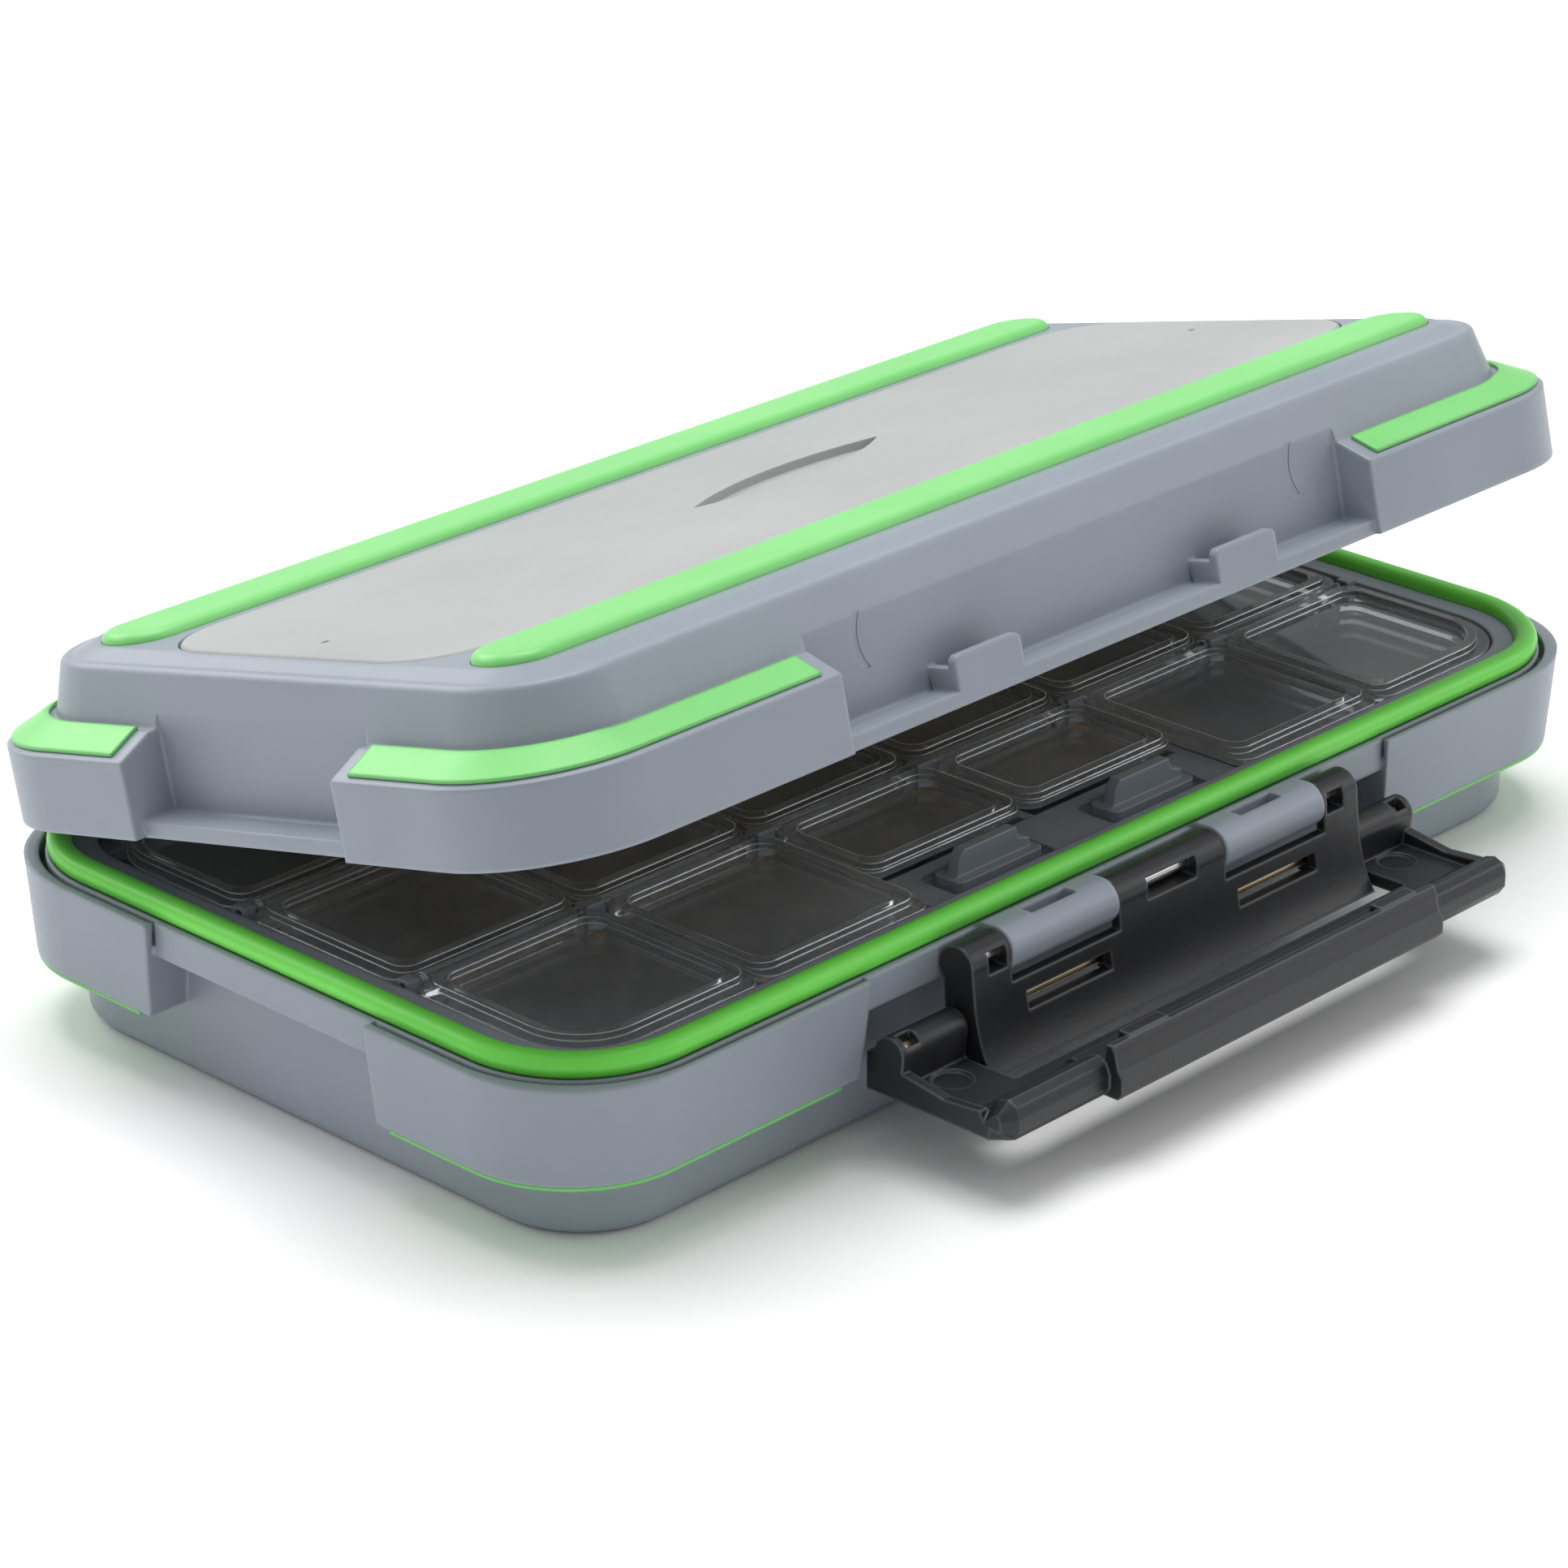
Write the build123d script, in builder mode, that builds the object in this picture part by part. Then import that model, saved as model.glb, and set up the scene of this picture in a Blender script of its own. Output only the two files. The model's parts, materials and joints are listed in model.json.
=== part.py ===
"""Waterproof tackle box: two hinged shells, eighteen lidded compartments and a two-piece latch.

Frame: millimetres, +X along the long side, +Y towards the hinge, +Z up.
The origin is the centre of the base's flat underside, and the lid stands partly open.
"""

import os
from math import atan, degrees

from build123d import *

os.makedirs("parts", exist_ok=True)

# ---------------------------------------------------------------- driving dimensions
# gasket line: every rim outline is an offset of it
GASKET_X = 93.5            # half length
GASKET_Y = 49.7            # half width
GASKET_R = 15.4            # corner radius
GASKET_WIRE = 1.6          # radius of the round section
GASKET_Z = 23.2

# base
BODY_X = 90.7              # outer half length of the tub below the rim
BODY_Y = 47.7
BODY_R = 13.0
WALL = 2.1
FLOOR = 2.2
BAND_BOTTOM = 17.7
BAND_TOP = 22.0
SEAT_Z = GASKET_Z - GASKET_WIRE
BAND_OFFSET = 2.3          # band face, outside the gasket line
INNER_LIP_TOP = 23.0
BUMPER_BOTTOM = 9.6
BUMPER_DRAFT = 4.0         # degrees
BUMPER_X = 97.3            # outer half length at the rim
BUMPER_Y = 53.0
BUMPER_R = 17.0
GAP_X = 48.8               # a bumper starts this far from the middle of a long side
GAP_Y = 19.2               # and this far from the middle of a short side
INSERT_THICK = 0.55

# lid, drawn shut and then swung open about the hinge
LID_OPEN = 13.5            # degrees
HINGE_Y = 55.0
HINGE_Z = 26.0
LIP_BOTTOM = 24.5
LIP_TOP = 26.3
LID_TOP = 43.2
LID_SHOULDER = 36.5        # the wall leans in above this height
LID_X = 91.6               # outer half length of the wall just above the lip
LID_Y = 48.1
LID_R = 14.0
LID_DRAFT = 2.0
LID_LEAN = 15.5
LID_EDGE_X = 89.4          # outer half length of the wall's top edge
LID_EDGE_Y = 45.9
LID_CEILING = 41.0
LID_BUMPER_FACE = 34.0     # top of a lid bumper's upright face
LID_BUMPER_TOP = 36.4
LEDGE_INSET = 4.9          # run of the sloping ledge above that face
LEDGE_SLOPE = degrees(atan(LEDGE_INSET / (LID_BUMPER_TOP - LID_BUMPER_FACE)))
STRIP_Y = 33.8             # middle of each long green strip
STRIP_LENGTH = 169.0
STRIP_WIDTH = 10.6
STRIP_TOP = 45.4
BED_TOP = 44.2             # the top rises gently to this height
PANEL_TOP = 44.35
PANEL_BOTTOM = 42.7
PANEL_X = 85.0
PANEL_Y = 26.4
PAD_BOTTOM = 37.2

# hinges and latch
PIN_R = 1.0
BORE_R = 1.05
KNUCKLE_R = 2.9
LEVER_KNUCKLE_R = 2.65
REAR_KNUCKLE = (12.0, 36.0)      # base knuckles of the lid hinge, from the middle
LID_END_KNUCKLE = (36.4, 46.0)
LID_MID_KNUCKLE = 11.6
PIVOT_Y = -55.0            # upper latch pin, in the base
PIVOT_Z = 20.2
FRONT_KNUCKLE = (10.3, 29.5)
BAIL_Y = -55.5             # lower latch pin, in the lever
BAIL_Z = 13.2
LEVER_X = 36.5             # half width of the lever
BAIL_X = 48.5              # half width of the bail
HOOK = (18.2, 29.6)        # lid hooks, from the middle
HOOK_TOP = 30.5

# compartments
COLUMNS = 6
ROWS = 3
PITCH_X = 29.1
DIVIDER = 1.6
DIVIDER_TOP = 21.4
RAIL_BOTTOM = 19.6
COVER_HINGE_Y = (-16.2, 12.6, 41.4)
ROW_WALL_Y = (COVER_HINGE_Y[0] + 0.3, COVER_HINGE_Y[1] + 0.3)
REAR_RAIL_Y = 39.9         # front edge of the rear rail
COVER_FRONT_Y = (-45.2, -14.7, 14.1)
SHORT_FRONT_Y = -34.3      # front edge of the two short covers behind the deck
COVER_HINGE_Z = 22.7
COVER_END_X = 88.2         # outer edge of the end covers
COVER_GAP = 0.7            # between neighbours
COVER_BOTTOM = 21.8
COVER_PLATE = 1.0
COVER_RIM_TOP = 23.7
RIM_WIDTH = 1.4
WINDOW_X = 12.2            # half width of the clear window inside a cover's rim
BARREL_X = 12.6            # half length of a cover's hinge barrel
TRUNNION = 1.3             # length of each trunnion
EAR_X = 3.0
REAR_EAR_X = 82.5          # end ears of the rear rail, kept inside the tub's corners
DECK_Y = (-45.5, -34.9)
DECK_TOP = 21.6

HINGE_AXIS = Axis((0, HINGE_Y, HINGE_Z), (1, 0, 0))
TUB_X = BODY_X - WALL      # inner half length
TUB_Y = BODY_Y - WALL
TUB_R = BODY_R - WALL


# ---------------------------------------------------------------- helpers
def outline(half_x, half_y, radius, mode=Mode.ADD):
    """A rounded rectangle given by its half sizes."""
    RectangleRounded(2 * half_x, 2 * half_y, radius, mode=mode)


def rim_outline(offset, mode=Mode.ADD):
    """The gasket line moved outwards by offset."""
    outline(GASKET_X + offset, GASKET_Y + offset, GASKET_R + offset, mode)


def keep_corners(gap_x, gap_y):
    """Take the middle of every side out of the sketch."""
    Rectangle(2 * gap_x, 300, mode=Mode.SUBTRACT)
    Rectangle(300, 2 * gap_y, mode=Mode.SUBTRACT)


def along_x(start, end, y=0.0, z=0.0):
    """A plane facing +X at start: local x is the frame's Y and local y is its Z."""
    return Plane(origin=(start, y, z), x_dir=(0, 1, 0), z_dir=(1, 0, 0)), end - start


def both_sides(span):
    """The span on +X and its mirror image on -X."""
    return (span, (-span[1], -span[0]))


def save(solid, name, on_lid=False):
    """Swing a lid piece to its open place, label the piece and write it."""
    if on_lid:
        solid = solid.rotate(HINGE_AXIS, -LID_OPEN)
    solid.label = name
    export_step(solid, f"parts/{name}.step")


# ---------------------------------------------------------------- base shell
def make_base_shell():
    with BuildPart() as base_shell:
        with BuildSketch():
            outline(BODY_X, BODY_Y, BODY_R)
        extrude(amount=BAND_BOTTOM)
        fillet(base_shell.edges().group_by(Axis.Z)[0], 2.0)
        # rim band all round
        with BuildSketch(Plane.XY.offset(BAND_BOTTOM)):
            rim_outline(BAND_OFFSET)
        extrude(amount=BAND_TOP - BAND_BOTTOM)
        # four corner bumpers, wider towards the rim
        draft_run = (BAND_TOP - BUMPER_BOTTOM) * 0.0699
        with BuildSketch(Plane.XY.offset(BUMPER_BOTTOM)):
            outline(BUMPER_X - draft_run, BUMPER_Y - draft_run, BUMPER_R - draft_run)
            keep_corners(GAP_X + draft_run, GAP_Y + draft_run)
        extrude(amount=BAND_TOP - BUMPER_BOTTOM, taper=-BUMPER_DRAFT)
        # groove between each bumper's flange and the gasket seat
        with BuildSketch(Plane.XY.offset(BAND_TOP - 3.0)):
            rim_outline(2.6)
            rim_outline(1.8, Mode.SUBTRACT)
            keep_corners(GAP_X, GAP_Y)
        extrude(amount=4.0, mode=Mode.SUBTRACT)
        # gasket seat, then the lip inside it
        with BuildSketch(Plane.XY.offset(SEAT_Z)):
            rim_outline(1.2)
        extrude(amount=3.0, mode=Mode.SUBTRACT)
        with BuildSketch(Plane.XY.offset(SEAT_Z)):
            rim_outline(-1.6)
        extrude(amount=INNER_LIP_TOP - SEAT_Z)
        # inside of the tub
        with BuildSketch(Plane.XY.offset(FLOOR)):
            outline(TUB_X, TUB_Y, TUB_R)
        extrude(amount=30.0, mode=Mode.SUBTRACT)
        # latch knuckles on the front rim
        for span in both_sides(FRONT_KNUCKLE):
            plane, length = along_x(*span)
            with BuildSketch(plane):
                with Locations((PIVOT_Y, PIVOT_Z)):
                    Circle(KNUCKLE_R)
                Polygon((PIVOT_Y, PIVOT_Z + KNUCKLE_R), (PIVOT_Y, PIVOT_Z - KNUCKLE_R), (-51.0, BAND_BOTTOM),
                        (-51.0, BAND_TOP - 0.2), (-52.6, PIVOT_Z + KNUCKLE_R - 0.2), align=None)
                with Locations((PIVOT_Y, PIVOT_Z)):
                    Circle(BORE_R, mode=Mode.SUBTRACT)
            extrude(amount=length)
        # moulding slots in their tops
        with Locations((19.6, -54.5, PIVOT_Z + 2.8), (-19.6, -54.5, PIVOT_Z + 2.8)):
            Box(8.2, 2.0, 3.2, mode=Mode.SUBTRACT)
        # lid hinge knuckles on the rear rim
        for span in both_sides(REAR_KNUCKLE):
            plane, length = along_x(*span)
            with BuildSketch(plane):
                with Locations((HINGE_Y, HINGE_Z)):
                    Circle(KNUCKLE_R)
                Polygon((51.0, BAND_BOTTOM), (54.0, BAND_BOTTOM), (HINGE_Y + KNUCKLE_R, HINGE_Z - 4.5),
                        (HINGE_Y + KNUCKLE_R, HINGE_Z), (HINGE_Y - 2.6, HINGE_Z), (HINGE_Y - 2.6, BAND_TOP),
                        (51.0, BAND_TOP), align=None)
                with Locations((HINGE_Y, HINGE_Z)):
                    Circle(BORE_R, mode=Mode.SUBTRACT)
            extrude(amount=length)
    save(base_shell.part, "base_shell")


def make_gasket():
    with BuildPart() as gasket:
        with BuildLine(Plane.XY.offset(GASKET_Z)) as ring:
            FilletPolyline((GASKET_X, -GASKET_Y), (GASKET_X, GASKET_Y), (-GASKET_X, GASKET_Y),
                           (-GASKET_X, -GASKET_Y), radius=GASKET_R, close=True)
        with BuildSketch(Plane(ring.wire() ^ 0)):
            Circle(GASKET_WIRE)
        sweep(path=ring.wire())
    save(gasket.part, "rim_gasket")


# ---------------------------------------------------------------- compartments
def end_ear(hinge_y):
    """Place and width of the ear at each end of a row."""
    return (REAR_EAR_X, 1.4) if hinge_y > 40 else (87.4, 1.8)


def add_ears(hinge_y):
    """Ears for the cover trunnions: one on each column line, and one at each end."""
    end_x, end_width = end_ear(hinge_y)
    ears = [((column - COLUMNS / 2) * PITCH_X, EAR_X) for column in range(1, COLUMNS)]
    ears += [(-end_x, end_width), (end_x, end_width)]
    for x, width in ears:
        with Locations((x, hinge_y, DIVIDER_TOP - 0.1)):
            Box(width, 2.0, COVER_HINGE_Z + 0.9 - DIVIDER_TOP + 0.1, align=(Align.CENTER, Align.CENTER, Align.MIN))
    with Locations(Location((0, hinge_y, COVER_HINGE_Z), (0, 90, 0))):
        Cylinder(0.55, 200, mode=Mode.SUBTRACT)


def make_column_divider(number):
    """A plate along Y, slotted from above for the two row dividers and the rear rail."""
    x = (number - COLUMNS / 2) * PITCH_X
    front = DECK_Y[1] + 0.1 if x == 0 else -TUB_Y + 0.1
    plane, length = along_x(x - DIVIDER / 2, x + DIVIDER / 2)
    with BuildPart() as column_divider:
        with BuildSketch(plane):
            with Locations((front, FLOOR + 0.05)):
                Rectangle(TUB_Y - 0.1 - front, DIVIDER_TOP - FLOOR - 0.05, align=(Align.MIN, Align.MIN))
            for y in ROW_WALL_Y:
                with Locations((y, (FLOOR + DIVIDER_TOP) / 2)):
                    Rectangle(DIVIDER + 0.1, 30, align=(Align.CENTER, Align.MIN), mode=Mode.SUBTRACT)
                with Locations((y, RAIL_BOTTOM - 0.1)):
                    Rectangle(5.8, 10, align=(Align.CENTER, Align.MIN), mode=Mode.SUBTRACT)
            with Locations((REAR_RAIL_Y - 0.1, RAIL_BOTTOM - 0.1)):
                Rectangle(10, 10, align=(Align.MIN, Align.MIN), mode=Mode.SUBTRACT)
        extrude(amount=length)
    save(column_divider.part, f"column_divider_{number}")


def make_row_divider(number):
    """A plate along X with a wide top rail, slotted from below for the column dividers."""
    y = ROW_WALL_Y[number - 1]
    with BuildPart() as row_divider:
        with BuildSketch(Plane.XY.offset(FLOOR + 0.05)):
            with Locations((0, y)):
                Rectangle(2 * TUB_X - 0.3, DIVIDER)
        extrude(amount=RAIL_BOTTOM - FLOOR)
        with BuildSketch(Plane.XY.offset(RAIL_BOTTOM)):
            with Locations((0, y)):
                Rectangle(2 * TUB_X - 0.3, 5.6)
        extrude(amount=DIVIDER_TOP - RAIL_BOTTOM)
        for column in range(1, COLUMNS):
            with Locations(((column - COLUMNS / 2) * PITCH_X, y, FLOOR)):
                Box(DIVIDER + 0.1, DIVIDER + 1, (DIVIDER_TOP - FLOOR) / 2 + 0.1,
                    align=(Align.CENTER, Align.CENTER, Align.MIN), mode=Mode.SUBTRACT)
        add_ears(COVER_HINGE_Y[number - 1])
    save(row_divider.part, f"row_divider_{number}")


def make_rear_rail():
    """The ledge along the rear wall that carries the last row's cover hinges."""
    with BuildPart() as rear_rail:
        with BuildSketch(Plane.XY.offset(RAIL_BOTTOM)):
            outline(TUB_X - 0.1, TUB_Y - 0.1, TUB_R)
            with Locations((0, REAR_RAIL_Y)):
                Rectangle(300, 200, align=(Align.CENTER, Align.MAX), mode=Mode.SUBTRACT)
        extrude(amount=DIVIDER_TOP - RAIL_BOTTOM)
        add_ears(COVER_HINGE_Y[2])
    save(rear_rail.part, "rear_hinge_rail")


def make_deck():
    """The flat deck at the middle of the front, with its two finger tabs."""
    half = PITCH_X - DIVIDER / 2 - 0.1
    with BuildPart() as deck:
        with BuildSketch(Plane.XY.offset(DECK_TOP - 1.8)):
            with Locations((0, DECK_Y[0])):
                Rectangle(2 * half, DECK_Y[1] - DECK_Y[0], align=(Align.CENTER, Align.MIN))
        extrude(amount=1.8)
        with BuildSketch(Plane.XY.offset(FLOOR + 0.05)):
            with Locations((0, DECK_Y[1])):
                Rectangle(2 * half, 1.4, align=(Align.CENTER, Align.MAX))
        extrude(amount=DECK_TOP - FLOOR - 1.0)
        # pocket, foot and fin of each tab
        for x in (-PITCH_X / 2, PITCH_X / 2):
            with BuildSketch(Plane.XY.offset(DECK_TOP)):
                with Locations((x, -40.6)):
                    RectangleRounded(18.5, 7.4, 1.6)
            extrude(amount=-0.9, mode=Mode.SUBTRACT)
            with BuildSketch(Plane.XY.offset(DECK_TOP - 1.0)):
                with Locations((x, -40.6)):
                    RectangleRounded(15.5, 4.6, 1.0)
            extrude(amount=1.7)
            with BuildSketch(Plane(origin=(x, -40.6, DECK_TOP), x_dir=(1, 0, 0), z_dir=(0, -1, 0))):
                Polygon((-6.8, 0), (6.8, 0), (6.6, 1.8), (4.6, 2.4), (4.0, 4.0), (-5.4, 4.0), (-6.2, 2.8),
                        align=None)
            extrude(amount=0.8, both=True)
    save(deck.part, "front_deck")


def make_scoop_ramp(number):
    """A two-step ramp that leans on a compartment's rear wall, for sliding small hooks out."""
    x = (number - COLUMNS / 2) * PITCH_X - 0.9
    with BuildPart() as ramp:
        for start, end, drop in ((x - 17.2, x - 5.8, 0.0), (x - 5.8, x - 0.4, 1.4)):
            plane, length = along_x(start, end)
            with BuildSketch(plane):
                Polygon((-39.5 + drop, FLOOR + 0.05), (-37.0 + drop, FLOOR + 0.05), (-19.4, 18.2 - drop),
                        (-18.9, 18.9 - drop), (-19.7, 19.4 - drop), (-21.0, 19.0 - drop), align=None)
            extrude(amount=length)
        for start in (x - 12.4, x - 4.2):
            plane, length = along_x(start, start + 4.6 if start < x - 10 else start + 3.6)
            with BuildSketch(plane):
                Polygon((-22.6, 16.6), (-20.4, 20.4), (-19.2, 20.0), (-19.2, 17.4), align=None)
            extrude(amount=length)
    save(ramp.part, f"scoop_ramp_{number}")


def cover_outline(plan, sides, corner, radius):
    """A rectangle with small corners, one of them (if given) as round as the tub's."""
    left, right, front, back = sides
    with Locations(((left + right) / 2, (front + back) / 2)):
        Rectangle(right - left, back - front)
    if corner:
        fillet(plan.vertices().sort_by_distance((corner[0], corner[1], 0))[:1], radius)
        fillet(plan.vertices().sort_by_distance((corner[0], corner[1], 0))[2:], 2.4)
    else:
        fillet(plan.vertices(), 2.4)


def make_cover(row, column):
    """One clear compartment cover: plate, raised rim, hinge barrel and two trunnions."""
    x = (column - (COLUMNS - 1) / 2) * PITCH_X
    hinge_y = COVER_HINGE_Y[row]
    front = COVER_FRONT_Y[row]
    if row == 0 and column in (2, 3):
        front = SHORT_FRONT_Y
    back = hinge_y - 1.3
    side = PITCH_X / 2 - COVER_GAP / 2
    left = -COVER_END_X if column == 0 else x - side
    right = COVER_END_X if column == COLUMNS - 1 else x + side
    # the covers at the tub's corners follow them
    corner = None
    if row != 1 and column in (0, COLUMNS - 1):
        corner = (left if column == 0 else right, front if row == 0 else back)
    window_front = front + (3.2 if row == 0 and column not in (2, 3) else 1.9)
    window_back = back - 1.3
    window = (x - WINDOW_X, x + WINDOW_X, window_front, window_back)
    rim = (window[0] - RIM_WIDTH, window[1] + RIM_WIDTH, window_front - RIM_WIDTH, back)
    barrel_left = x - BARREL_X
    barrel_right = x + BARREL_X
    if row == 2 and column == 0:
        barrel_left = -REAR_EAR_X + 1.0
    if row == 2 and column == COLUMNS - 1:
        barrel_right = REAR_EAR_X - 1.0
    with BuildPart() as cover:
        with BuildSketch(Plane.XY.offset(COVER_BOTTOM)) as plate_plan:
            cover_outline(plate_plan, (left, right, front, back), corner, 10.4)
        extrude(amount=COVER_PLATE)
        with BuildSketch(Plane.XY.offset(COVER_BOTTOM + COVER_PLATE)) as rim_plan:
            cover_outline(rim_plan, rim, corner, 8.4)
        extrude(amount=COVER_RIM_TOP - COVER_BOTTOM - COVER_PLATE)
        with BuildSketch(Plane.XY.offset(COVER_BOTTOM + COVER_PLATE)) as window_plan:
            cover_outline(window_plan, window, corner, 7.0)
        extrude(amount=2.0, mode=Mode.SUBTRACT)
        # hinge barrel with the strap that joins it to the plate
        with BuildSketch(Plane.XY.offset(COVER_BOTTOM)):
            with Locations(((barrel_left + barrel_right) / 2, hinge_y)):
                Rectangle(barrel_right - barrel_left - 4.0, 2.0, align=(Align.CENTER, Align.MAX))
        extrude(amount=0.9)
        plane, length = along_x(barrel_left, barrel_right, hinge_y, COVER_HINGE_Z)
        with BuildSketch(plane):
            Circle(0.95)
        extrude(amount=length)
        plane, length = along_x(barrel_left - TRUNNION, barrel_right + TRUNNION, hinge_y, COVER_HINGE_Z)
        with BuildSketch(plane):
            Circle(0.5)
        extrude(amount=length)
    save(cover.part, f"cover_row{row + 1}_col{column + 1}")


# ---------------------------------------------------------------- lid
def make_lid_shell():
    with BuildPart() as lid_shell:
        with BuildSketch(Plane.XY.offset(LIP_BOTTOM)):
            outline(LID_X, LID_Y, LID_R)
        extrude(amount=LID_SHOULDER - LIP_BOTTOM, taper=LID_DRAFT)
        with BuildSketch(Plane.XY.offset(LID_SHOULDER)):
            outline(LID_X - 0.42, LID_Y - 0.42, LID_R - 0.42)
        extrude(amount=LID_TOP - LID_SHOULDER, taper=LID_LEAN)
        fillet(lid_shell.edges().group_by(Axis.Z)[-1], 1.0)
        # the top rises gently from its edge
        with BuildSketch(Plane.XY.offset(LID_TOP - 0.1)):
            outline(LID_EDGE_X - 1.2, LID_EDGE_Y - 1.2, LID_R - 3.4)
        extrude(amount=BED_TOP - LID_TOP + 0.1, taper=70)
        # four corner bumpers: upright face, then the ledge that slopes up to the wall
        with BuildSketch(Plane.XY.offset(LIP_BOTTOM)):
            outline(BUMPER_X, BUMPER_Y - 0.2, BUMPER_R)
            keep_corners(GAP_X, GAP_Y)
        extrude(amount=LID_BUMPER_FACE - LIP_BOTTOM)
        with BuildSketch(Plane.XY.offset(LID_BUMPER_FACE)):
            outline(BUMPER_X, BUMPER_Y - 0.2, BUMPER_R)
        extrude(amount=LID_BUMPER_TOP - LID_BUMPER_FACE, taper=LEDGE_SLOPE)
        for size in ((2 * GAP_X, 300), (300, 2 * GAP_Y)):
            with BuildSketch(Plane.XY.offset(LIP_TOP)):
                Rectangle(*size)
                outline(LID_X - 0.9, LID_Y - 0.9, LID_R, Mode.SUBTRACT)
            extrude(amount=12.0, mode=Mode.SUBTRACT)
        # lip flange all round
        with BuildSketch(Plane.XY.offset(LIP_BOTTOM)):
            rim_outline(BAND_OFFSET)
        extrude(amount=LIP_TOP - LIP_BOTTOM)
        # pockets of the long strips and of the middle panel
        with BuildSketch(Plane.XY.offset(LID_TOP + 0.2)):
            with Locations((0, STRIP_Y), (0, -STRIP_Y)):
                RectangleRounded(STRIP_LENGTH + 0.2, STRIP_WIDTH + 0.2, 5.2)
        extrude(amount=5.0, mode=Mode.SUBTRACT)
        with BuildSketch(Plane.XY.offset(PANEL_BOTTOM - 0.05)):
            outline(PANEL_X + 0.25, PANEL_Y + 0.25, 10.2)
        extrude(amount=5.0, mode=Mode.SUBTRACT)
        # crescent notches in the front wall
        for x in (-39.8, 39.8):
            with BuildSketch(Plane(origin=(x, -50, 35.4), x_dir=(1, 0, 0), z_dir=(0, 1, 0))):
                with Locations((4.5, 0)):
                    Circle(5.7)
                with Locations((5.6, 0)):
                    Circle(5.7, mode=Mode.SUBTRACT)
                with Locations((-0.3, 0)):
                    Rectangle(3.4, 7.4, mode=Mode.INTERSECT)
            extrude(amount=2.9, mode=Mode.SUBTRACT)
        # inside of the lid
        with BuildSketch(Plane.XY.offset(LIP_BOTTOM)):
            outline(TUB_X, TUB_Y, TUB_R)
        extrude(amount=LID_CEILING - LIP_BOTTOM, taper=3.0, mode=Mode.SUBTRACT)
        # two hooks: an upright plate in front of the wall, tied back at each end
        for span in both_sides(HOOK):
            plane, length = along_x(*span)
            with BuildSketch(plane):
                Polygon((-52.0, LIP_BOTTOM), (-52.0, HOOK_TOP), (-50.7, HOOK_TOP), (-50.7, LIP_TOP - 0.1),
                        (-48.0, LIP_TOP - 0.1), (-48.0, LIP_BOTTOM), align=None)
            extrude(amount=length)
            for start in (span[0], span[1] - 1.4):
                plane, length = along_x(start, start + 1.4)
                with BuildSketch(plane):
                    Polygon((-51.0, LIP_TOP - 0.2), (-51.0, 29.0), (-47.2, 29.0), (-47.6, LIP_TOP - 0.2), align=None)
                extrude(amount=length)
        hook_corners = lid_shell.edges().filter_by(Axis.Y).filter_by(
            lambda edge: abs(edge.center().Z - HOOK_TOP) < 0.01 and edge.center().Y < -50)
        fillet(hook_corners, 1.0)
        # hinge knuckles at the rear
        for span in (*both_sides(LID_END_KNUCKLE), (-LID_MID_KNUCKLE, LID_MID_KNUCKLE)):
            plane, length = along_x(*span)
            with BuildSketch(plane):
                with Locations((HINGE_Y, HINGE_Z)):
                    Circle(KNUCKLE_R)
                Polygon((47.6, LIP_BOTTOM), (HINGE_Y, LIP_BOTTOM), (HINGE_Y, HINGE_Z + KNUCKLE_R), (47.6, 31.0),
                        align=None)
                with Locations((HINGE_Y, HINGE_Z)):
                    Circle(BORE_R, mode=Mode.SUBTRACT)
            extrude(amount=length)
        # room for the base knuckles, and the groove that takes the gasket
        for span in both_sides((LID_MID_KNUCKLE, LID_END_KNUCKLE[0])):
            plane, length = along_x(*span)
            with BuildSketch(plane):
                with Locations((HINGE_Y, HINGE_Z)):
                    Circle(KNUCKLE_R + 0.35)
            extrude(amount=length, mode=Mode.SUBTRACT)
        with BuildSketch(Plane.XY.offset(LIP_BOTTOM)):
            rim_outline(1.7)
            rim_outline(-1.7, Mode.SUBTRACT)
        extrude(amount=0.7, mode=Mode.SUBTRACT)
    save(lid_shell.part, "lid_shell", on_lid=True)


def make_lid_strip(name, y):
    with BuildPart() as strip:
        with BuildSketch(Plane.XY.offset(LID_TOP + 0.25)):
            with Locations((0, y)):
                RectangleRounded(STRIP_LENGTH, STRIP_WIDTH, 5.1)
        extrude(amount=STRIP_TOP - LID_TOP - 0.25)
        fillet(strip.edges().group_by(Axis.Z)[-1], 1.3)
    save(strip.part, name, on_lid=True)


def make_lid_panel():
    """The textured inlay in the middle of the lid, with a shallow oval recess."""
    with BuildPart() as panel:
        with BuildSketch(Plane.XY.offset(PANEL_BOTTOM)):
            outline(PANEL_X, PANEL_Y, 10.0)
        extrude(amount=PANEL_TOP - PANEL_BOTTOM)
        chamfer(panel.edges().group_by(Axis.Z)[-1], 0.35)
        with BuildSketch(Plane.XY.offset(PANEL_TOP - 1.1)):
            with BuildLine():
                ThreePointArc((-17.5, 0.6), (1.0, 6.0), (19.0, 3.4))
                ThreePointArc((19.0, 3.4), (4.0, -2.6), (-17.5, 0.6))
            make_face()
        extrude(amount=3.0, mode=Mode.SUBTRACT)
        with Locations((-79.0, 0, PANEL_TOP), (79.0, 0, PANEL_TOP)):
            Sphere(0.5, mode=Mode.SUBTRACT)
    save(panel.part, "lid_panel", on_lid=True)


def make_lid_pad():
    with BuildPart() as pad:
        with BuildSketch(Plane.XY.offset(PAD_BOTTOM)):
            outline(86.8, 43.6, 9.0)
        extrude(amount=LID_CEILING - PAD_BOTTOM - 0.1)
    save(pad.part, "lid_foam_pad", on_lid=True)


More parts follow.
